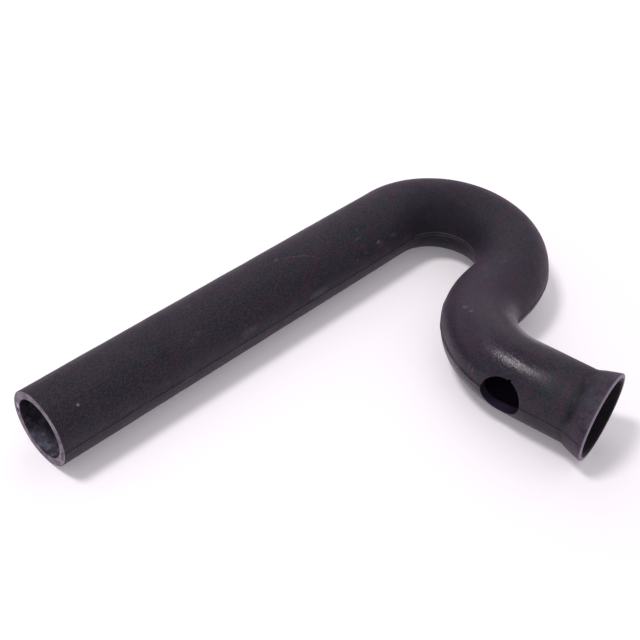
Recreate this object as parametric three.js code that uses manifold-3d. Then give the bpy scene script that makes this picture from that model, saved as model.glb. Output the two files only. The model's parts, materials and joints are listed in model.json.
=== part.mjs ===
// A P-trap of moulded black rubber, lying on its side: a long straight inlet leg, a U-shaped dip,
// a crown bend the other way and a short outlet with a flared bell. The tube is pressed in a mould
// of two halves, so it is built as two half shells that meet on the mould's parting plane.
//
// Millimetres, +Z up. In the trap's own plane the inlet leg starts at the origin and runs along +X.
import * as THREE from "three";
import { mergeVertices } from "three/addons/utils/BufferGeometryUtils.js";
import Module from "manifold-3d";

// The tube.
const TUBE_OUTER_DIAMETER = 41.2;
const TUBE_WALL = 4.7;
const LEG_LENGTH = 242.7;

// The two bends, by the radius of their centre line and the angle they turn through.
const DIP_RADIUS = 41.8;
const DIP_ANGLE = THREE.MathUtils.degToRad(174.5);
const RISER_LENGTH = 9.7;
const CROWN_RADIUS = 41.2;
const CROWN_ANGLE = THREE.MathUtils.degToRad(94.5);

// The outlet and its bell, whose radius grows with this power of the distance along it.
const OUTLET_LENGTH = 31.3;
const BELL_LENGTH = 14.7;
const BELL_OUTER_DIAMETER = 49.4;
const BELL_WALL = 4.0;
const BELL_POWER = 1.08;

// The round hole in the back of the crown, square to the outlet.
const HOLE_DIAMETER = 22.0;
const HOLE_SETBACK = 1.8;

// The thin rib of flash that the mould leaves along its parting line.
const FLASH_HEIGHT = 0.5;
const FLASH_ROOT_WIDTH = 1.2;
const FLASH_TIP_WIDTH = 0.7;

// The space between the half shells, and how finely round stretches are divided.
const PARTING_GAP = 0.3;
const SIDES = 40;
const BEND_STEP = THREE.MathUtils.degToRad(7.5);
const BELL_STEPS = 4;
const HOLE_SIDES = 48;

// Cutters run past what they cut by this much.
const OVERRUN = 5;
const FAR = 600;

const TUBE_RADIUS = TUBE_OUTER_DIAMETER / 2;
const BELL_RADIUS = BELL_OUTER_DIAMETER / 2;

const wasm = await Module();
wasm.setup();

// --- Geometry to solids and back -------------------------------------------------------------

function toSolid(geometry) {
  const bare = geometry.clone();
  bare.deleteAttribute("normal");
  bare.deleteAttribute("uv");
  const merged = mergeVertices(bare, 1e-5);
  return new wasm.Manifold(new wasm.Mesh({
    numProp: 3,
    vertProperties: new Float32Array(merged.attributes.position.array),
    triVerts: new Uint32Array(merged.index.array),
  }));
}

function toGeometry(solid) {
  const mesh = solid.getMesh();
  const geometry = new THREE.BufferGeometry();
  geometry.setAttribute("position", new THREE.BufferAttribute(mesh.vertProperties, 3));
  geometry.setIndex(new THREE.BufferAttribute(mesh.triVerts, 1));
  geometry.computeVertexNormals();
  return geometry;
}

// --- The centre line -------------------------------------------------------------------------

// A pen that walks the centre line and leaves a station at each step: its point and heading in
// the trap's plane, the tube's outer radius there and its wall.
class CentreLine {
  constructor() {
    this.point = new THREE.Vector2(0, 0);
    this.heading = 0;
    this.stations = [];
    this.mark(TUBE_RADIUS, TUBE_WALL);
  }

  mark(radius, wall) {
    this.stations.push({ point: this.point.clone(), heading: this.heading, radius, wall });
  }

  direction() {
    return new THREE.Vector2(Math.cos(this.heading), Math.sin(this.heading));
  }

  straight(length) {
    this.point.addScaledVector(this.direction(), length);
    this.mark(TUBE_RADIUS, TUBE_WALL);
  }

  // A positive angle turns left. Each step is a chord of the bend's arc.
  bend(radius, angle) {
    const steps = Math.ceil(Math.abs(angle) / BEND_STEP);
    const turn = angle / steps;
    const chord = 2 * radius * Math.sin(Math.abs(turn) / 2);
    for (let i = 0; i < steps; i += 1) {
      this.heading += turn / 2;
      this.point.addScaledVector(this.direction(), chord);
      this.heading += turn / 2;
      this.mark(TUBE_RADIUS, TUBE_WALL);
    }
  }

  bell(length) {
    for (let i = 1; i <= BELL_STEPS; i += 1) {
      const along = i / BELL_STEPS;
      const radius = THREE.MathUtils.lerp(TUBE_RADIUS, BELL_RADIUS, along ** BELL_POWER);
      const wall = THREE.MathUtils.lerp(TUBE_WALL, BELL_WALL, along);
      this.point.addScaledVector(this.direction(), length / BELL_STEPS);
      this.mark(radius, wall);
    }
  }
}

function trapCentreLine() {
  const line = new CentreLine();
  line.straight(LEG_LENGTH);
  line.bend(DIP_RADIUS, -DIP_ANGLE);
  line.straight(RISER_LENGTH);
  line.bend(CROWN_RADIUS, CROWN_ANGLE);
  const crownEnd = line.stations.at(-1);
  line.straight(OUTLET_LENGTH);
  line.bell(BELL_LENGTH);
  return { stations: line.stations, crownEnd, mouth: line.stations.at(-1) };
}

// --- Sections and lofts ----------------------------------------------------------------------

// A section is a ring of [across, up] pairs round the centre line.
function roundSection(radius) {
  const ring = [];
  for (let i = 0; i < SIDES; i += 1) {
    const angle = (2 * Math.PI * i) / SIDES;
    ring.push([radius * Math.cos(angle), radius * Math.sin(angle)]);
  }
  return ring;
}

// The outside of the tube: a circle with a rib of flash on each side, at the parting plane.
function flashedSection(radius) {
  const root = FLASH_ROOT_WIDTH / 2;
  const tip = FLASH_TIP_WIDTH / 2;
  const rootAcross = Math.sqrt(radius ** 2 - root ** 2);
  const tipAcross = radius + FLASH_HEIGHT;
  const ring = [];
  for (const [x, y] of roundSection(radius)) {
    if (Math.abs(y) > root) {
      ring.push([x, y]);
      continue;
    }
    const side = Math.sign(x);
    ring.push([side * rootAcross, -side * root]);
    ring.push([side * tipAcross, -side * tip]);
    ring.push([side * tipAcross, side * tip]);
    ring.push([side * rootAcross, side * root]);
  }
  return ring;
}

// A closed solid through one section at each station, with a flat cap at each end.
function loft(stations, sectionAt) {
  const positions = [];
  const indices = [];
  const rings = stations.map((station) => sectionAt(station));
  const count = rings[0].length;
  stations.forEach(({ point, heading }, s) => {
    const acrossX = -Math.sin(heading);
    const acrossY = Math.cos(heading);
    for (const [across, up] of rings[s]) {
      positions.push(point.x + across * acrossX, point.y + across * acrossY, up);
    }
  });
  for (let s = 0; s + 1 < stations.length; s += 1) {
    for (let i = 0; i < count; i += 1) {
      const a = s * count + i;
      const b = s * count + ((i + 1) % count);
      indices.push(a, b, b + count);
      indices.push(a, b + count, a + count);
    }
  }
  const addCap = (s, flip) => {
    const { point } = stations[s];
    const centre = positions.length / 3;
    positions.push(point.x, point.y, 0);
    for (let i = 0; i < count; i += 1) {
      const a = s * count + i;
      const b = s * count + ((i + 1) % count);
      indices.push(centre, flip ? b : a, flip ? a : b);
    }
  };
  addCap(0, true);
  addCap(stations.length - 1, false);
  const geometry = new THREE.BufferGeometry();
  geometry.setAttribute("position", new THREE.Float32BufferAttribute(positions, 3));
  geometry.setIndex(indices);
  return geometry;
}

// The bore's stations run past both ends of the tube, so that they cut clean faces.
function extendedStations(stations) {
  const past = (station, distance) => {
    const along = new THREE.Vector2(Math.cos(station.heading), Math.sin(station.heading));
    return { ...station, point: station.point.clone().addScaledVector(along, distance) };
  };
  return [past(stations[0], -OVERRUN), ...stations, past(stations.at(-1), OVERRUN)];
}

// --- The trap --------------------------------------------------------------------------------

function crownHoleCutter({ point, heading }) {
  const outwards = heading - Math.PI / 2;
  const length = TUBE_RADIUS + OVERRUN;
  const cutter = new THREE.CylinderGeometry(HOLE_DIAMETER / 2, HOLE_DIAMETER / 2, length, HOLE_SIDES);
  cutter.rotateZ(outwards - Math.PI / 2);
  const x = point.x - HOLE_SETBACK * Math.cos(heading) + (length / 2) * Math.cos(outwards);
  const y = point.y - HOLE_SETBACK * Math.sin(heading) + (length / 2) * Math.sin(outwards);
  cutter.translate(x, y, 0);
  return toSolid(cutter);
}

function wholeTube(stations, crownEnd) {
  const outside = toSolid(loft(stations, ({ radius }) => flashedSection(radius)));
  const bore = toSolid(loft(extendedStations(stations), ({ radius, wall }) => roundSection(radius - wall)));
  return outside.subtract(bore).subtract(crownHoleCutter(crownEnd));
}

// The half space on one side of the parting plane: side is +1 above it and -1 below.
function halfSpace(side) {
  const block = new THREE.BoxGeometry(2 * FAR, 2 * FAR, FAR);
  block.translate(0, 0, side * (FAR + PARTING_GAP) / 2);
  return toSolid(block);
}

function halfShell(name, tube, side, color) {
  const material = new THREE.MeshStandardMaterial({ color, roughness: 0.6, metalness: 0 });
  const mesh = new THREE.Mesh(toGeometry(tube.intersect(halfSpace(side))), material);
  mesh.name = name;
  return mesh;
}

// Laid on a flat surface, the trap rolls about its long leg until the wider bell touches too.
function restingRoll(mouth) {
  return Math.asin((BELL_RADIUS - TUBE_RADIUS) / Math.abs(mouth.point.y));
}

function buildTrap() {
  const { stations, crownEnd, mouth } = trapCentreLine();
  const tube = wholeTube(stations, crownEnd);
  const halves = new THREE.Group();
  halves.add(halfShell("upper_shell", tube, 1, 0x3b373f));
  halves.add(halfShell("lower_shell", tube, -1, 0x37333b));
  halves.rotation.x = -restingRoll(mouth);

  // The origin is under the middle of the trap's box, on the surface that it lies on.
  const trap = new THREE.Group();
  trap.add(halves);
  trap.updateMatrixWorld(true);
  const box = new THREE.Box3().setFromObject(trap, true);
  halves.position.set(-(box.min.x + box.max.x) / 2, -(box.min.y + box.max.y) / 2, -box.min.z);
  trap.updateMatrixWorld(true);
  return trap;
}

export default buildTrap();
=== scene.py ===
"""The looks of a moulded rubber P-trap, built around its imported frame.

The trap is drawn in its own plane, in millimetres: the inlet leg starts at the origin and runs
along +X, the bends lie in the XY plane and the mould parts on Z = 0. place_in_row() then turns
each finished mesh into the row's frame, in metres.
"""
import json
import math

import bmesh
import bpy
from mathutils import Matrix, Vector


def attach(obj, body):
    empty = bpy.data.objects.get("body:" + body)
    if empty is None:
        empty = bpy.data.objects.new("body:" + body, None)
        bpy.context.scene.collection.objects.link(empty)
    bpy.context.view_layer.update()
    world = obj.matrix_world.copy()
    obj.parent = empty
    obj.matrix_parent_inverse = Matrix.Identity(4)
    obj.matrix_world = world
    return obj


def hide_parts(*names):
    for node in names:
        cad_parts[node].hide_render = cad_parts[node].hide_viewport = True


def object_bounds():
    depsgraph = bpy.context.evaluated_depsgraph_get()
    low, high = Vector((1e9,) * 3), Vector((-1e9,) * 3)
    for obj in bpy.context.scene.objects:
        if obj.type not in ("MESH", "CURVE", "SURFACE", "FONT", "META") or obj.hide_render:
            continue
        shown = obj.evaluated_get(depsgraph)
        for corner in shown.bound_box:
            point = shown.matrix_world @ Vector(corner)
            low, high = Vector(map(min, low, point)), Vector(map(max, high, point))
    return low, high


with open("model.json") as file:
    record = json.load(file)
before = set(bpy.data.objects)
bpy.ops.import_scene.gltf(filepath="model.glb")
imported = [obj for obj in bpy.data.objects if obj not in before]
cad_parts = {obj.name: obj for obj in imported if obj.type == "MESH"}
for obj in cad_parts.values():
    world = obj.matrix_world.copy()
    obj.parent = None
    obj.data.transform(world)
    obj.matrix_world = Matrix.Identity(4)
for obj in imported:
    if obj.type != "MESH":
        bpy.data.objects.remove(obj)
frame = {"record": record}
cad_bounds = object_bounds()

# --- Sizes of the moulding, in millimetres -------------------------------------------------------

TUBE_RADIUS = 20.6
BORE_RADIUS = 15.9
LEG_LENGTH = 242.7
DIP_RADIUS = 41.8
DIP_TURN = -174.5
RISER_LENGTH = 9.7
CROWN_RADIUS = 41.2
CROWN_TURN = 94.5
OUTLET_LENGTH = 31.3
BELL_LENGTH = 14.7
BELL_RADIUS = 24.7
BELL_BORE_RADIUS = 20.7
BELL_POWER = 1.08
HOLE_RADIUS = 11.1
HOLE_SETBACK = 1.8

CUT_EDGE = 0.25       # the cut end's edges are nearly sharp
RIM_EDGE = 0.8        # the moulded rim's edges are rounded,
RIM_LEAD_IN = 2.4     # the inner one this many times deeper, to lead the pipe in
HOLE_EDGE = 0.5       # and so is the hole's outer edge
CREASE_DEPTH = 0.4    # the soft crease where the bell starts
CREASE_WIDTH = 2.5
LEG_FLASH = 0.10      # how far the parting line's lips stand up, on the leg,
BEND_FLASH = 0.48     # in the two bends
OUTLET_FLASH = 0.22   # and on the outlet and the bell
SEAM_GROOVE = 0.17    # the depth of the groove between the lips

STRAIGHT_STEP = 3.0
BEND_STEP = 2.0       # degrees
BELL_STEP = 1.0
EDGE_STEPS = 4
HOLE_SIDES = 128
OUTER_POINTS = 97     # points round each half's outer arc, and round its bore
BORE_POINTS = 73
CROWDING = 0.82       # how strongly they crowd towards the parting plane
WAVINESS = 0.4        # the most that the wall strays inwards
SHARP_ANGLE = 38      # degrees, over which an edge is shaded sharp

M = 0.001             # metres in a millimetre


# --- The centre line -----------------------------------------------------------------------------

class CentreLine:
    """Walks the middle of the tube and notes a station at each step."""

    def __init__(self):
        self.x = 0.0
        self.y = 0.0
        self.heading = 0.0
        self.along = 0.0
        self.flash = LEG_FLASH
        self.stations = []

    def mark(self, outer, bore):
        self.stations.append({
            "along": self.along,
            "centre": Vector((self.x, self.y, 0.0)),
            "across": Vector((-math.sin(self.heading), math.cos(self.heading), 0.0)),
            "forward": Vector((math.cos(self.heading), math.sin(self.heading), 0.0)),
            "outer": outer,
            "bore": bore,
            "flash": self.flash,
        })

    def forward(self, distance):
        self.x += distance * math.cos(self.heading)
        self.y += distance * math.sin(self.heading)
        self.along += distance

    def straight(self, length):
        steps = math.ceil(length / STRAIGHT_STEP)
        for _ in range(steps):
            self.forward(length / steps)
            self.mark(TUBE_RADIUS, BORE_RADIUS)

    def bend(self, radius, degrees):
        steps = math.ceil(abs(degrees) / BEND_STEP)
        turn = math.radians(degrees) / steps
        chord = 2 * radius * math.sin(abs(turn) / 2)
        for _ in range(steps):
            self.heading += turn / 2
            self.forward(chord)
            self.heading += turn / 2
            self.mark(TUBE_RADIUS, BORE_RADIUS)

    def rounded_end(self, outer, bore, edge, opening):
        """Stations that round both edges of an end: opening is True at the line's start."""
        for i in range(EDGE_STEPS + 1):
            turn = math.radians(90 * i / EDGE_STEPS)
            if opening:
                drop = edge * (1 - math.sin(turn))
                self.mark(outer - drop, bore + drop)
                nxt = math.radians(90 * (i + 1) / EDGE_STEPS)
                if i < EDGE_STEPS:
                    self.forward(edge * (math.cos(turn) - math.cos(nxt)))
            else:
                drop = edge * (1 - math.cos(turn))
                self.mark(outer - drop, bore + drop * RIM_LEAD_IN)
                nxt = math.radians(90 * (i + 1) / EDGE_STEPS)
                if i < EDGE_STEPS:
                    self.forward(edge * (math.sin(nxt) - math.sin(turn)))

    def bell(self, length):
        flared = length - RIM_EDGE
        steps = math.ceil(flared / BELL_STEP)
        for i in range(1, steps + 1):
            self.forward(flared / steps)
            u = i * flared / steps / length
            outer, bore = bell_radii(u)
            if i < steps:
                self.mark(outer, bore)
            else:
                self.rounded_end(outer, bore, RIM_EDGE, opening=False)


def bell_radii(u):
    """Outer and bore radius at a share u of the bell's length, with the crease where it starts."""
    flare = u ** BELL_POWER
    outer = TUBE_RADIUS + (BELL_RADIUS - TUBE_RADIUS) * flare
    crease = CREASE_DEPTH * math.exp(-(u * BELL_LENGTH / CREASE_WIDTH - 1) ** 2)
    wall = TUBE_RADIUS - BORE_RADIUS
    rim_wall = BELL_RADIUS - BELL_BORE_RADIUS
    return outer - crease, outer - wall + (wall - rim_wall) * u


def walk_trap():
    line = CentreLine()
    line.rounded_end(TUBE_RADIUS, BORE_RADIUS, CUT_EDGE, opening=True)
    line.straight(LEG_LENGTH - CUT_EDGE)
    line.flash = BEND_FLASH
    line.bend(DIP_RADIUS, DIP_TURN)
    line.straight(RISER_LENGTH)
    line.bend(CROWN_RADIUS, CROWN_TURN)
    crown_end = line.stations[-1]
    line.flash = OUTLET_FLASH
    line.straight(OUTLET_LENGTH)
    line.bell(BELL_LENGTH)
    return line.stations, crown_end


stations, crown_end = walk_trap()
mouth = stations[-1]


# --- From the trap's plane to the row's frame ----------------------------------------------------

def trap_to_row():
    """The trap lies on its leg and on the bell's wider rim, so it rolls a little about the leg."""
    roll = -math.asin((BELL_RADIUS - TUBE_RADIUS) / abs(mouth["centre"].y))
    inlet = next(m for m in frame["record"]["mounts"] if m["name"] == "inlet_end")
    on_ring = Vector((0, 0, (TUBE_RADIUS + BORE_RADIUS) / 2))
    turn = Matrix.Rotation(roll, 4, "X")
    shift = Vector(inlet["pos_m"]) - turn @ on_ring * M
    shift.x = cad_bounds[0].x
    return Matrix.Translation(shift) @ turn @ Matrix.Scale(M, 4), roll, shift


TO_ROW, ROLL, SHIFT = trap_to_row()


def place_in_row(piece):
    piece.data.transform(TO_ROW)
    piece.data.update()


# --- Nodes ---------------------------------------------------------------------------------------

MATH = "ShaderNodeMath"
VECTOR = "ShaderNodeVectorMath"
RANGE = "ShaderNodeMapRange"
MIX = "ShaderNodeMix"
SPLIT = "ShaderNodeSeparateXYZ"
MAPPING = "ShaderNodeMapping"
NOISE = "ShaderNodeTexNoise"


def add(tree, kind, inputs=None, out=0, **settings):
    """Adds a node and gives its output out. Each input is a value, or the output that feeds it."""
    made = tree.nodes.new(kind)
    for name, value in settings.items():
        setattr(made, name, value)
    for socket, value in (inputs or {}).items():
        if isinstance(value, bpy.types.NodeSocket):
            tree.links.new(value, made.inputs[socket])
        else:
            made.inputs[socket].default_value = value
    return made.outputs[out] if made.outputs else None


def linear(hex_colour, alpha=1.0):
    """An sRGB colour such as "#2b292e" as the linear colour that Blender's sockets take."""
    channels = []
    for i in (1, 3, 5):
        c = int(hex_colour[i:i + 2], 16) / 255
        channels.append(c / 12.92 if c <= 0.04045 else ((c + 0.055) / 1.055) ** 2.4)
    return (*channels, alpha)


# --- Patterns ------------------------------------------------------------------------------------

def new_material(name):
    material = bpy.data.materials.new(name)
    material.use_nodes = True
    tree = material.node_tree
    tree.nodes.clear()
    return material, tree


def trap_coordinates(tree):
    """Object coordinates turned back to the trap's own plane, in millimetres."""
    place = add(tree, "ShaderNodeTexCoord", out="Object")
    unshift = add(tree, VECTOR, {0: place, 1: SHIFT}, operation="SUBTRACT")
    return add(tree, MAPPING, {
        "Vector": unshift,
        "Rotation": (-ROLL, 0, 0),
        "Scale": (1 / M, 1 / M, 1 / M),
    })


def clouds(tree, place, size, low, high, most=1.0, detail=3.0, stretch=(1, 1, 1), shift=(0, 0, 0)):
    """Cloudy noise, size millimetres across: 0 where it is under low, and most where it is over high."""
    moved = add(tree, MAPPING, {"Vector": place, "Location": shift, "Scale": stretch})
    noise = add(tree, NOISE, {"Vector": moved, "Scale": 1 / size, "Detail": detail, "Roughness": 0.6})
    return add(tree, RANGE, {
        "Value": noise, "From Min": low, "From Max": high, "To Max": most,
    }, interpolation_type="SMOOTHSTEP")


def smear(tree, place, spot, size, turn=0.0):
    """1 at the spot, falling to 0 at the half sizes, which may be turned about Z by some degrees."""
    local = add(tree, MAPPING, {
        "Vector": place, "Location": spot, "Rotation": (0, 0, math.radians(turn)), "Scale": size,
    }, vector_type="TEXTURE")
    return add(tree, "ShaderNodeTexGradient", {"Vector": local}, out="Fac", gradient_type="SPHERICAL")


def all_of(tree, *shares):
    """The product of several shares."""
    product = shares[0]
    for share in shares[1:]:
        product = add(tree, MATH, {0: product, 1: share}, operation="MULTIPLY")
    return product


def painted(tree, colour, layers):
    """The colour with each layer over it: the share that the layer covers, and its own colour."""
    for share, paint in layers:
        colour = add(tree, MIX, {0: share, 6: colour, 7: linear(paint)}, out=2, data_type="RGBA")
    return colour


# --- Materials -----------------------------------------------------------------------------------

# Chalky marks from handling: the spot, the half sizes, the turn and the strength.
CHALK_MARKS = [
    ((14.8, -12.6, 16.2), (1.0, 1.0, 1.0), 0, 1.6),
    ((152.2, -0.1, 20.6), (1.7, 1.2, 1.5), 0, 0.7),
    ((206.2, -8.9, 18.5), (1.2, 0.8, 1.0), 0, 0.6),
    ((215.9, -17.6, 10.4), (3.0, 1.0, 1.0), 15, 0.9),
    ((204.5, -18.5, 8.9), (1.4, 0.9, 0.9), 0, 0.6),
    ((197.3, -19.0, 7.7), (0.9, 0.9, 0.9), 0, 0.6),
    ((203.2, -90.0, 17.8), (1.2, 2.8, 1.5), 0, 0.9),
    ((202.0, -94.8, 18.6), (2.6, 1.0, 1.2), -45, 0.9),
    ((181.4, -112.9, 5.8), (1.0, 0.6, 2.4), 0, 0.8),
    ((180.8, -115.6, 5.1), (1.0, 0.6, 2.0), 0, 0.7),
    ((165.2, -20.4, 2.6), (9.0, 2.5, 3.0), 0, 0.35),
    ((115.8, -19.9, 5.2), (8.0, 2.5, 3.0), 0, 0.35),
]
# A long curved scratch on top of the leg.
SCRATCH_MIDDLE = (141.5, -50.7, 0)
SCRATCH_RADIUS = 51.0
SCRATCH_SPOT = (165.5, -5.7, 19.7)
POLISHED_SPOT = (190, -117, 15)
DIP_SHADE_SPOT = (258, -32, 6)
PALER_CROWN_SPOT = (218, -98, 18)


def moulded_rubber():
    """Black vulcanised rubber, pressed in a mould of two halves.

    It gives the eye a dark mauve grey that is never quite even, a soft sheen drawn out along the
    tube, chalky scuffs, a dark parting line, and a fine grain.
    """
    material, tree = new_material("moulded_black_rubber")
    place = trap_coordinates(tree)
    x, y, z = add(tree, SPLIT, {0: place}).node.outputs
    off_seam = add(tree, MATH, {0: z}, operation="ABSOLUTE")
    beside_leg = add(tree, RANGE, {"Value": y, "From Min": -30, "From Max": -24})
    on_leg = all_of(tree, beside_leg, add(tree, RANGE, {"Value": x, "From Min": 246, "From Max": 236}))

    # Dirt and painted shade sit in the parting line's groove, wider along the trimmed leg than in the bends.
    spread = add(tree, RANGE, {"Value": on_leg, "To Min": 0.2, "To Max": 0.9})
    spread = all_of(tree, spread, clouds(tree, place, 7, 0.3, 0.7))
    from_dark_line = add(tree, MATH, {0: off_seam, 1: spread}, operation="SUBTRACT")
    seam_dirt_and_shade = add(tree, RANGE, {"Value": from_dark_line, "From Min": 0.5, "From Max": 0.0, "To Max": 0.75})
    seam_dirt_and_shade = all_of(tree, seam_dirt_and_shade, clouds(tree, place, 5, 0.34, 0.6, shift=(2, 7, 7)))
    # Talc and painted bounce light from the floor lie in patches beside it.
    near_seam = add(tree, RANGE, {"Value": off_seam, "From Min": 10, "From Max": 2})
    seam_talc_and_bounce = all_of(tree, near_seam, on_leg, clouds(tree, place, 9, 0.5, 0.75, 0.35, shift=(4, 8, 1)))

    # Dirt and painted shade gather in the crease behind the bell, and a painted highlight lies along its rim.
    from_mouth = add(tree, VECTOR, {0: place, 1: mouth["forward"]}, out="Value", operation="DOT_PRODUCT")
    mouth_at = mouth["centre"].dot(mouth["forward"])
    to_rim = add(tree, MATH, {0: mouth_at, 1: from_mouth}, operation="SUBTRACT")
    off_crease = add(tree, MATH, {0: to_rim, 1: BELL_LENGTH - CREASE_WIDTH}, operation="SUBTRACT")
    off_crease = add(tree, MATH, {0: off_crease}, operation="ABSOLUTE")
    by_crease = add(tree, RANGE, {"Value": off_crease, "From Min": 3.6, "From Max": 0.4})
    in_outlet = add(tree, RANGE, {"Value": y, "From Min": -150, "From Max": -156})
    crease_dirt_and_shade = all_of(tree, by_crease, in_outlet, clouds(tree, place, 8, 0.34, 0.58, 0.9))
    # The bell's flank is paler towards the rim.
    paler_bell_flank = add(tree, RANGE, {"Value": to_rim, "From Min": 13, "From Max": 2})
    paler_bell_flank = all_of(tree, paler_bell_flank, in_outlet, clouds(tree, place, 5, 0.3, 0.66, 0.6, shift=(6, 3, 2)))
    # A painted highlight lies along the bell's rim.
    rim_highlight = add(tree, RANGE, {"Value": to_rim, "From Min": 0.9, "From Max": 0.2})
    rim_highlight = all_of(tree, rim_highlight, in_outlet, clouds(tree, place, 5, 0.25, 0.5, 0.9))

    # Handling scuffs, chalk marks and one long scratch.
    scuff_area = clouds(tree, place, 26, 0.61, 0.74, detail=2.0, shift=(7, 61, 5))
    scuff = all_of(tree, scuff_area, clouds(tree, place, 3.5, 0.5, 0.68, detail=8.0, stretch=(0.5, 1.6, 1)))
    chalk = 0.0
    for spot, size, turn, strength in CHALK_MARKS:
        mark = all_of(tree, smear(tree, place, spot, size, turn), strength)
        chalk = add(tree, MATH, {0: chalk, 1: mark}, operation="ADD")
    chalk = all_of(tree, chalk, clouds(tree, place, 1.4, 0.25, 0.6, detail=4.0))
    flat = add(tree, VECTOR, {0: place, 1: (1, 1, 0)}, operation="MULTIPLY")
    reach = add(tree, VECTOR, {0: flat, 1: SCRATCH_MIDDLE}, out="Value", operation="DISTANCE")
    on_arc = add(tree, MATH, {0: reach, 1: SCRATCH_RADIUS, 2: 0.22}, operation="COMPARE")
    arc_area = smear(tree, place, SCRATCH_SPOT, (17, 12, 9))
    scratch = all_of(tree, on_arc, arc_area, clouds(tree, place, 2.5, 0.3, 0.55))

    # Streaks from the mould run along the tube.
    leg_streaks = clouds(tree, place, 1.6, 0.4, 0.75, stretch=(0.09, 1, 1))
    outlet_streaks = clouds(tree, place, 1.6, 0.4, 0.75, stretch=(1, 0.12, 1))
    streaks = add(tree, MIX, {0: on_leg, 2: outlet_streaks, 3: leg_streaks})
    # The mould's grit, 0.5 mm in truth and drawn at 0.9 mm so that it shows.
    grit = clouds(tree, place, 0.9, 0.4, 0.66, detail=2.0)

    # The inlet end is blacker.
    blacker_inlet = all_of(tree, on_leg, add(tree, RANGE, {"Value": x, "From Min": 190, "From Max": 30}))
    # Painted shade darkens the dip's inner side, which is also made duller; the riser and the crown are
    # paler.
    dip_shade = smear(tree, place, DIP_SHADE_SPOT, (40, 34, 24))
    dip_shade = add(tree, RANGE, {"Value": dip_shade, "From Max": 0.5})
    paler_crown = add(tree, RANGE, {"Value": smear(tree, place, PALER_CROWN_SPOT, (48, 34, 26)), "From Max": 0.5})
    # Two ridges of flash get a painted highlight, paler than the rest.
    off_ridge = add(tree, MATH, {0: off_seam, 1: 0.75}, operation="SUBTRACT")
    off_ridge = add(tree, MATH, {0: off_ridge}, operation="ABSOLUTE")
    on_ridge = add(tree, RANGE, {"Value": off_ridge, "From Min": 0.8, "From Max": 0.1})
    off_leg = add(tree, MATH, {0: 1.0, 1: on_leg}, operation="SUBTRACT")
    off_outlet = add(tree, RANGE, {"Value": y, "From Min": -120, "From Max": -105})
    ridge_patches = clouds(tree, place, 14, 0.25, 0.65, 0.5, shift=(9, 1, 1))
    ridge_highlight = all_of(tree, on_ridge, off_leg, off_outlet, ridge_patches)

    colour = painted(tree, linear("#17181f"), [
        # Cool and warm blotches, large and small.
        (clouds(tree, place, 30, 0.38, 0.62, 0.75, shift=(13, 2, 8)), "#231a26"),
        (clouds(tree, place, 6, 0.42, 0.62, 0.85), "#2f1a28"),
        (clouds(tree, place, 7, 0.46, 0.62, 0.85, shift=(31, 5, 2)), "#102023"),
        (clouds(tree, place, 2.2, 0.50, 0.64, 0.7, shift=(3, 17, 6)), "#341b2a"),
        (clouds(tree, place, 2.4, 0.50, 0.64, 0.7, shift=(23, 1, 2)), "#0f2226"),
        # A pale bloom in wide soft clouds.
        (clouds(tree, place, 38, 0.45, 0.75, 0.3, detail=5.0, shift=(40, 9, 3)), "#36303a"),
        (all_of(tree, blacker_inlet, 0.5), "#0d0e12"),
        (all_of(tree, grit, 0.55), "#3a3440"),
        (all_of(tree, streaks, 0.2), "#332e38"),
        (all_of(tree, dip_shade, 0.6), "#0b0d13"),
        (all_of(tree, paler_crown, 0.22), "#4f4450"),
        (ridge_highlight, "#5d5461"),
        (seam_talc_and_bounce, "#463d4a"),
        (paler_bell_flank, "#4e4453"),
        (all_of(tree, scuff, 0.4), "#6b6470"),
        (all_of(tree, scratch, 0.22), "#8d8590"),
        (all_of(tree, chalk, 0.5), "#85849a"),
        (crease_dirt_and_shade, "#050608"),
        (rim_highlight, "#8f8496"),
        (seam_dirt_and_shade, "#0e0c10"),
    ])

    # The skin is dull, except round the crown's end, where it is smoother.
    roughness = add(tree, RANGE, {
        "Value": clouds(tree, place, 9, 0.3, 0.7, detail=4.0, shift=(3, 3, 30)),
        "To Min": 0.54, "To Max": 0.63,
    })
    polish = smear(tree, place, POLISHED_SPOT, (46, 41, 40))
    polish = add(tree, RANGE, {"Value": polish, "From Min": 0, "From Max": 0.4, "To Max": 0.36})
    roughness = add(tree, MATH, {0: roughness, 1: polish}, operation="SUBTRACT")
    for part in (all_of(tree, scuff, 0.2), all_of(tree, streaks, 0.07), all_of(tree, dip_shade, 0.15)):
        roughness = add(tree, MATH, {0: roughness, 1: part}, operation="ADD")

    height = clouds(tree, place, 4.5, 0.2, 0.8, 0.6, detail=2.0, shift=(1, 2, 3))
    for part in (all_of(tree, grit, 0.25), all_of(tree, streaks, 0.3)):
        height = add(tree, MATH, {0: height, 1: part}, operation="ADD")
    bump = add(tree, "ShaderNodeBump", {"Height": height, "Strength": 0.38, "Distance": 0.25 * M})
    shader = add(tree, "ShaderNodeBsdfPrincipled", {
        "Base Color": colour,
        "Roughness": roughness,
        "IOR": 1.52,
        "Specular IOR Level": 0.2,
        "Sheen Weight": 0.1,
        "Sheen Roughness": 0.4,
        "Sheen Tint": linear("#eeb8ea"),
        "Normal": bump,
    })
    add(tree, "ShaderNodeOutputMaterial", {"Surface": shader})
    return material


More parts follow.
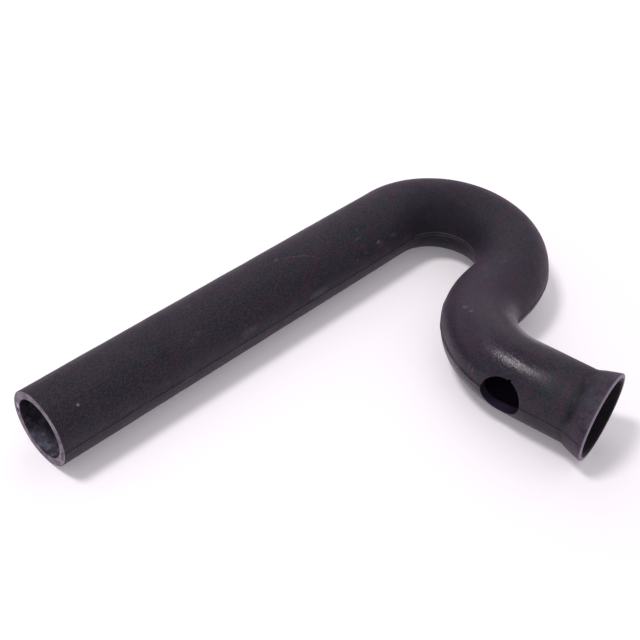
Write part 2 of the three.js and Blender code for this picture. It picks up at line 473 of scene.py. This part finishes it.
def bore_rubber():
    """The same rubber inside the bore, unhandled and dull.

    It gives the eye a dead black depth, with bluish chalk and a painted pool of light on its floor just
    inside the cut end.
    """
    material, tree = new_material("unhandled_bore_rubber")
    place = trap_coordinates(tree)
    x, y, z = add(tree, SPLIT, {0: place}).node.outputs
    beside_leg = add(tree, RANGE, {"Value": y, "From Min": -30, "From Max": -24})
    near_end = add(tree, RANGE, {"Value": x, "From Min": 50, "From Max": 14})
    on_floor = add(tree, RANGE, {"Value": z, "From Min": 4, "From Max": -16})
    dust_and_light_area = all_of(tree, beside_leg, near_end, on_floor)
    colour = painted(tree, linear("#100d12"), [
        (clouds(tree, place, 9, 0.35, 0.7, 0.7), "#1b151d"),
        # Chalk dust and a painted pool of light on the floor just inside the cut end.
        (all_of(tree, dust_and_light_area, clouds(tree, place, 6, 0.2, 0.6, 0.9)), "#46444f"),
        (all_of(tree, dust_and_light_area, clouds(tree, place, 4, 0.42, 0.72, 0.5, shift=(3, 9, 4))), "#7a7990"),
        # Painted dim purple light on the bore's floor under the crown hole.
        (all_of(tree, smear(tree, place, (196, -126, -14), (24, 24, 18)), 0.9), "#3a2b48"),
    ])
    height = clouds(tree, place, 1.5, 0.3, 0.7)
    bump = add(tree, "ShaderNodeBump", {"Height": height, "Strength": 0.4, "Distance": 0.3 * M})
    shader = add(tree, "ShaderNodeBsdfPrincipled", {
        "Base Color": colour,
        "Roughness": 0.62,
        "IOR": 1.52,
        "Specular IOR Level": 0.12,
        "Normal": bump,
    })
    add(tree, "ShaderNodeOutputMaterial", {"Surface": shader})
    return material


def cut_rubber():
    """The same rubber where a knife went through it: paler, dull, dragged in fine streaks.

    It gives the eye a chalky mauve ring with a darker, torn mark where the two halves knit, and a small
    painted highlight on its edge.
    """
    material, tree = new_material("knife_cut_rubber")
    place = trap_coordinates(tree)
    z = add(tree, SPLIT, {0: place}, out=2)
    off_seam = add(tree, MATH, {0: z}, operation="ABSOLUTE")
    drag = clouds(tree, place, 1.6, 0.35, 0.7, detail=5.0, stretch=(1, 0.35, 1.8))
    knit = add(tree, RANGE, {"Value": off_seam, "From Min": 0.7, "From Max": 0.1})
    # A painted highlight: a bright bluish spot on the ring's edge beside the notch.
    notch_highlight = smear(tree, place, (0, 17.3, 2.3), (2.0, 1.3, 3.0))
    colour = painted(tree, linear("#655b67"), [
        (clouds(tree, place, 7, 0.35, 0.65, 0.8), "#847885"),
        (all_of(tree, drag, 0.55), "#a497a6"),
        (clouds(tree, place, 9, 0.40, 0.60, 0.7, shift=(8, 3, 1)), "#4c4750"),
        (clouds(tree, place, 2.2, 0.5, 0.66, 0.6, shift=(5, 2, 9)), "#453f48"),
        (all_of(tree, knit, clouds(tree, place, 2, 0.35, 0.6, 0.6)), "#2d2b30"),
        (notch_highlight, "#cfc9e4"),
    ])
    bump = add(tree, "ShaderNodeBump", {"Height": drag, "Strength": 0.6, "Distance": 0.3 * M})
    shader = add(tree, "ShaderNodeBsdfPrincipled", {
        "Base Color": colour,
        "Roughness": 0.7,
        "IOR": 1.52,
        "Specular IOR Level": 0.3,
        "Normal": bump,
    })
    add(tree, "ShaderNodeOutputMaterial", {"Surface": shader})
    return material


RUBBER = moulded_rubber()
BORE_RUBBER = bore_rubber()
CUT_RUBBER = cut_rubber()


# --- Geometry Nodes ------------------------------------------------------------------------------

STORE = "GeometryNodeStoreNamedAttribute"
READ = "GeometryNodeInputNamedAttribute"


def new_geometry_tree(name, inputs):
    """A tree with one geometry in and out, and the named inputs given as {name: socket kind}."""
    tree = bpy.data.node_groups.new(name, "GeometryNodeTree")
    tree.interface.new_socket("Geometry", in_out="INPUT", socket_type="NodeSocketGeometry")
    for label, kind in inputs.items():
        tree.interface.new_socket(label, in_out="INPUT", socket_type="NodeSocket" + kind)
    tree.interface.new_socket("Geometry", in_out="OUTPUT", socket_type="NodeSocketGeometry")
    return tree, tree.nodes.new("NodeGroupInput").outputs


def half_moulding_tree():
    """Sweeps half a ring along the centre line. The rail's points carry each station's sizes."""
    tree, given = new_geometry_tree("pressed_half_of_tube", {
        "Side": "Float", "Outer Points": "Int", "Bore Points": "Int",
        "Waviness": "Float", "Groove": "Float",
        "Rubber": "Material", "Bore Rubber": "Material", "Cut Rubber": "Material",
    })
    rail = add(tree, "GeometryNodeMeshToCurve", {0: given["Geometry"]})
    middle = add(tree, "GeometryNodeInputPosition")
    rail = add(tree, STORE, {"Geometry": rail, "Name": "centre", "Value": middle}, data_type="FLOAT_VECTOR")

    # The section runs round the outer arc, then back round the bore.
    total = add(tree, MATH, {0: given["Outer Points"], 1: given["Bore Points"]}, operation="ADD")
    index = add(tree, "GeometryNodeInputIndex")
    on_skin = add(tree, MATH, {0: index, 1: given["Outer Points"]}, operation="LESS_THAN")
    last_outer = add(tree, MATH, {0: given["Outer Points"], 1: 1}, operation="SUBTRACT")
    outer_turn = add(tree, MATH, {0: index, 1: last_outer}, operation="DIVIDE")
    last = add(tree, MATH, {0: total, 1: 1}, operation="SUBTRACT")
    back = add(tree, MATH, {0: last, 1: index}, operation="SUBTRACT")
    last_bore = add(tree, MATH, {0: given["Bore Points"], 1: 1}, operation="SUBTRACT")
    bore_turn = add(tree, MATH, {0: back, 1: last_bore}, operation="DIVIDE")
    turn = add(tree, MIX, {0: on_skin, 2: bore_turn, 3: outer_turn})
    # The points crowd towards the parting plane, where the flash is.
    around = add(tree, MATH, {0: turn, 1: 2 * math.pi}, operation="MULTIPLY")
    crowding = add(tree, MATH, {0: around}, operation="SINE")
    crowding = add(tree, MATH, {0: crowding, 1: -CROWDING / (2 * math.pi), 2: turn}, operation="MULTIPLY_ADD")
    ring = add(tree, MATH, {0: crowding, 1: math.pi}, operation="MULTIPLY")
    section = add(tree, "GeometryNodeMeshLine", {"Count": total})
    section = add(tree, "GeometryNodeMeshToCurve", {0: section})
    section = add(tree, "GeometryNodeSetSplineCyclic", {"Geometry": section, "Cyclic": True})
    section = add(tree, STORE, {"Geometry": section, "Name": "ring", "Value": ring})
    section = add(tree, STORE, {"Geometry": section, "Name": "skin", "Value": on_skin})

    swept = add(tree, "GeometryNodeCurveToMesh", {
        "Curve": rail, "Profile Curve": section, "Fill Caps": True,
    })

    ring = add(tree, READ, {"Name": "ring"})
    skin = add(tree, READ, {"Name": "skin"})
    bore = add(tree, READ, {"Name": "bore"})
    outer = add(tree, READ, {"Name": "outer"})
    flash = add(tree, READ, {"Name": "flash"})
    along = add(tree, READ, {"Name": "along"})
    across = add(tree, READ, {"Name": "across"}, data_type="FLOAT_VECTOR")
    centre = add(tree, READ, {"Name": "centre"}, data_type="FLOAT_VECTOR")
    cosine = add(tree, MATH, {0: ring}, operation="COSINE")
    sine = add(tree, MATH, {0: ring}, operation="SINE")
    sideways = add(tree, VECTOR, {0: across, "Scale": cosine}, operation="SCALE")
    rise = add(tree, MATH, {0: sine, 1: given["Side"]}, operation="MULTIPLY")
    outwards = add(tree, "ShaderNodeCombineXYZ", {"Z": rise})
    outwards = add(tree, VECTOR, {0: sideways, 1: outwards}, operation="ADD")
    radius = add(tree, MIX, {0: skin, 2: bore, 3: outer})

    # Each half has a lip beside the parting plane, so the pair makes two ridges with a groove between.
    off_plane = add(tree, MATH, {0: sine, 1: radius}, operation="MULTIPLY")
    inner_flank = add(tree, RANGE, {"Value": off_plane, "From Min": 0, "From Max": 0.5})
    outer_flank = add(tree, RANGE, {"Value": off_plane, "From Min": 1.4, "From Max": 0.7})
    ragged = add(tree, NOISE, {"Vector": centre, "Scale": 1 / 5, "Detail": 2.0})
    ragged = add(tree, RANGE, {"Value": ragged, "From Min": 0.3, "From Max": 0.7, "To Min": 0.35})
    lip = all_of(tree, flash, inner_flank, outer_flank, ragged)
    groove = add(tree, RANGE, {"Value": off_plane, "From Min": 0.4, "From Max": 0})
    groove = all_of(tree, groove, given["Groove"])
    seam = add(tree, MATH, {0: lip, 1: groove}, operation="SUBTRACT")
    seam = all_of(tree, seam, skin)
    radius = add(tree, MATH, {0: radius, 1: seam}, operation="ADD")

    # The wall is a little wavy.
    wave = add(tree, NOISE, {"Vector": centre, "Scale": 1 / 22, "Detail": 2.0})
    wave = add(tree, MATH, {0: wave, 1: 0.68}, operation="SUBTRACT")
    inwards = all_of(tree, wave, given["Waviness"])
    radius = add(tree, MATH, {0: radius, 1: inwards}, operation="ADD")
    shaped = add(tree, VECTOR, {0: outwards, "Scale": radius}, operation="SCALE")
    shaped = add(tree, VECTOR, {0: centre, 1: shaped}, operation="ADD")
    shaped = add(tree, "GeometryNodeSetPosition", {"Geometry": swept, "Position": shaped})

    # The bore and the cut end face have rubber of their own.
    face_skin = add(tree, "GeometryNodeFieldOnDomain", {0: skin}, data_type="FLOAT", domain="FACE")
    in_bore = add(tree, MATH, {0: face_skin, 1: 0.25}, operation="LESS_THAN")
    at_start = add(tree, MATH, {0: along, 1: 1e-3}, operation="LESS_THAN")
    at_start = add(tree, "GeometryNodeFieldOnDomain", {0: at_start}, data_type="FLOAT", domain="FACE")
    cut_face = add(tree, MATH, {0: at_start, 1: 0.999}, operation="GREATER_THAN")
    coated = add(tree, "GeometryNodeRealizeInstances", {0: shaped})
    for where, rubber in ((True, "Rubber"), (in_bore, "Bore Rubber"), (cut_face, "Cut Rubber")):
        coated = add(tree, "GeometryNodeSetMaterial", {
            "Geometry": coated, "Selection": where, "Material": given[rubber],
        })
    add(tree, "NodeGroupOutput", {0: coated})
    return tree


def rail_object(name, points, values):
    """A polyline whose points carry the named values the tree reads."""
    mesh = bpy.data.meshes.new(name)
    mesh.from_pydata(points, [(i, i + 1) for i in range(len(points) - 1)], [])
    for label, numbers in values.items():
        if isinstance(numbers[0], Vector):
            layer = mesh.attributes.new(label, "FLOAT_VECTOR", "POINT")
            for i, value in enumerate(numbers):
                layer.data[i].vector = value
        else:
            layer = mesh.attributes.new(label, "FLOAT", "POINT")
            for i, value in enumerate(numbers):
                layer.data[i].value = value
    piece = bpy.data.objects.new(name, mesh)
    bpy.context.scene.collection.objects.link(piece)
    return piece


def grow(piece, tree, settings):
    """Runs a tree on the piece and keeps the result as its plain mesh."""
    modifier = piece.modifiers.new("grow", "NODES")
    modifier.node_group = tree
    sockets = {s.name: s.identifier for s in tree.interface.items_tree if s.in_out == "INPUT"}
    for label, value in settings.items():
        modifier[sockets[label]] = value
    settle(piece)


def settle(piece):
    """Turns the piece's modifiers into its mesh and removes them."""
    bpy.context.view_layer.update()
    seen = piece.evaluated_get(bpy.context.evaluated_depsgraph_get())
    mesh = bpy.data.meshes.new_from_object(seen, depsgraph=bpy.context.evaluated_depsgraph_get())
    piece.modifiers.clear()
    piece.data = mesh


def tidy_surface(piece, sharp_degrees):
    """Merges doubles, turns every face outwards and shades smooth up to the given angle."""
    work = bmesh.new()
    work.from_mesh(piece.data)
    bmesh.ops.remove_doubles(work, verts=work.verts, dist=1e-5)
    bmesh.ops.recalc_face_normals(work, faces=work.faces)
    work.to_mesh(piece.data)
    work.free()
    piece.data.shade_smooth()
    piece.data.set_sharp_from_angle(angle=math.radians(sharp_degrees))


# --- The two halves of the moulding --------------------------------------------------------------

HALF_TREE = half_moulding_tree()


def half_moulding(name, side):
    half = rail_object(name, [s["centre"] for s in stations], {
        key: [s[key] for s in stations] for key in ("along", "across", "outer", "bore", "flash")
    })
    grow(half, HALF_TREE, {
        "Side": side,
        "Outer Points": OUTER_POINTS,
        "Bore Points": BORE_POINTS,
        "Waviness": WAVINESS,
        "Groove": SEAM_GROOVE,
        "Rubber": RUBBER,
        "Bore Rubber": BORE_RUBBER,
        "Cut Rubber": CUT_RUBBER,
    })
    return half


def cutter_from(name, build, rubber):
    """A cutter that leaves the given rubber where it cuts."""
    mesh = bpy.data.meshes.new(name)
    mesh.materials.append(rubber)
    work = bmesh.new()
    build(work)
    bmesh.ops.recalc_face_normals(work, faces=work.faces)
    work.to_mesh(mesh)
    work.free()
    cutter = bpy.data.objects.new(name, mesh)
    bpy.context.scene.collection.objects.link(cutter)
    return cutter


def hole_frame():
    """X runs out of the crown hole, Y along the outlet and Z up, from the tube's middle."""
    forward = crown_end["forward"]
    out = -crown_end["across"]
    origin = crown_end["centre"] - forward * HOLE_SETBACK
    columns = Matrix((out, forward, Vector((0, 0, 1)))).transposed().to_4x4()
    return Matrix.Translation(origin) @ columns


def tube_surface(reach, turn):
    """How far out the tube's surface lies from the hole's axis, which falls away round the crown."""
    behind = min(0.0, reach * math.cos(turn) - HOLE_SETBACK)
    rise = math.sqrt(TUBE_RADIUS ** 2 - (reach * math.sin(turn)) ** 2)
    return rise - behind ** 2 / (2 * (CROWN_RADIUS + TUBE_RADIUS))


def punch(work):
    """A round cutter whose sides open out at the tube's surface, so the hole's edge is rounded."""
    rings = [(HOLE_RADIUS, lambda turn: 0.0)]
    for i in range(EDGE_STEPS + 1):
        lean = math.radians(90 * i / EDGE_STEPS)
        reach = HOLE_RADIUS + HOLE_EDGE * (1 - math.cos(lean))
        sink = HOLE_EDGE * (1 - math.sin(lean))
        rings.append((reach, lambda turn, r=reach, d=sink: tube_surface(r, turn) - d))
    rings.append((HOLE_RADIUS + HOLE_EDGE, lambda turn: 2 * TUBE_RADIUS))
    to_trap = hole_frame()
    turns = [2 * math.pi * i / HOLE_SIDES for i in range(HOLE_SIDES)]
    loops = []
    for reach, height in rings:
        loops.append([
            work.verts.new(to_trap @ Vector((height(t), reach * math.cos(t), reach * math.sin(t))))
            for t in turns
        ])
    for low, high in zip(loops, loops[1:]):
        for i in range(HOLE_SIDES):
            j = (i + 1) % HOLE_SIDES
            work.faces.new((low[i], low[j], high[j], high[i]))
    work.faces.new(loops[0][::-1])
    work.faces.new(loops[-1])


def nick(work):
    """Where the punch tore the hole's upper edge."""
    lay = Matrix.Rotation(math.radians(90), 4, "Y")
    spot = Matrix.Translation((TUBE_RADIUS, 2.3, HOLE_RADIUS - 0.2))
    bmesh.ops.create_cone(work, cap_ends=True, segments=20, radius1=1.0, radius2=1.0,
                          depth=TUBE_RADIUS, matrix=hole_frame() @ spot @ lay)


def dent(spot, size, lean=0.0):
    """A smooth hollow in the cut end, where the rubber tore or didn't quite knit."""
    lay = Matrix.Rotation(math.radians(lean), 4, "X") @ Matrix.Diagonal((*size, 1))

    def build(work):
        bmesh.ops.create_icosphere(work, subdivisions=3, radius=1.0,
                                   matrix=Matrix.Translation(spot) @ lay)
    return build


def cut_with(piece, cutters):
    for cutter in cutters:
        modifier = piece.modifiers.new("cut", "BOOLEAN")
        modifier.operation = "DIFFERENCE"
        modifier.solver = "EXACT"
        modifier.material_mode = "TRANSFER"
        modifier.object = cutter
    settle(piece)


hole_cutter = cutter_from("hole_cutter", punch, BORE_RUBBER)
nick_cutter = cutter_from("nick_cutter", nick, BORE_RUBBER)
slit_cutter = cutter_from("slit_cutter", dent((0, -17.8, -4.4), (1.1, 0.9, 4.2), 13), CUT_RUBBER)
chip_cutter = cutter_from("chip_cutter", dent((0, 17.8, -0.9), (1.1, 1.0, 0.8)), BORE_RUBBER)

for half_name, side, node, cutters in (
    ("upper_half", 1.0, "upper_shell", [hole_cutter, slit_cutter, chip_cutter, nick_cutter]),
    ("lower_half", -1.0, "lower_shell", [hole_cutter, slit_cutter, chip_cutter]),
):
    half = half_moulding(half_name, side)
    cut_with(half, cutters)
    place_in_row(half)
    tidy_surface(half, SHARP_ANGLE)
    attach(half, "root")
    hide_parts(node)

for cutter in (hole_cutter, nick_cutter, slit_cutter, chip_cutter):
    bpy.data.objects.remove(cutter)


# --- Floor, light and camera ---------------------------------------------------------------------

def pale_floor():
    """A white light table, whose faint glow fills the shadow under the trap."""
    material, tree = new_material("pale_table")
    shader = add(tree, "ShaderNodeBsdfPrincipled", {
        "Base Color": linear("#f4f3f3"),
        "Roughness": 0.9,
        "Emission Color": linear("#fdf8ff"),
        "Emission Strength": 0.15,
    })
    add(tree, "ShaderNodeOutputMaterial", {"Surface": shader})
    mesh = bpy.data.meshes.new("floor")
    reach = 6.0
    mesh.from_pydata([(-reach, -reach, 0), (reach, -reach, 0), (reach, reach, 0), (-reach, reach, 0)],
                     [], [(0, 1, 2, 3)])
    mesh.materials.append(material)
    floor = bpy.data.objects.new("floor", mesh)
    bpy.context.scene.collection.objects.link(floor)


def softbox(name, place, aim, size, watts):
    """A square soft light that faces the point aim."""
    lamp = bpy.data.lights.new(name, "AREA")
    lamp.shape = "SQUARE"
    lamp.size = size
    lamp.energy = watts
    lamp.color = linear("#fff7fc")[:3]
    light = bpy.data.objects.new(name, lamp)
    light.location = place
    light.rotation_euler = (Vector(aim) - Vector(place)).to_track_quat("-Z", "Y").to_euler()
    bpy.context.scene.collection.objects.link(light)


def studio_light():
    softbox("key_softbox", (-0.555, 0.398, 1.56), (0.04, 0, 0.02), 0.34, 14)
    softbox("back_softbox", (0.62, 0.58, 0.59), (0.04, 0, 0.02), 0.9, 1.2)
    world = bpy.data.worlds.new("studio")
    world.use_nodes = True
    tree = world.node_tree
    tree.nodes.clear()
    sky = add(tree, "ShaderNodeBackground", {"Color": linear("#fdf8ff"), "Strength": 0.6})
    add(tree, "ShaderNodeOutputWorld", {"Surface": sky})
    bpy.context.scene.world = world


def camera():
    lens = bpy.data.cameras.new("camera")
    lens.sensor_width = 36
    lens.lens = 61.04
    seen_from = bpy.data.objects.new("camera", lens)
    seen_from.location = (-0.3154, -0.2286, 0.4206)
    seen_from.rotation_euler = [math.radians(a) for a in (46.21, -4.28, -44.87)]
    bpy.context.scene.collection.objects.link(seen_from)
    bpy.context.scene.camera = seen_from


pale_floor()
studio_light()
camera()
bpy.context.scene.view_settings.view_transform = "Standard"
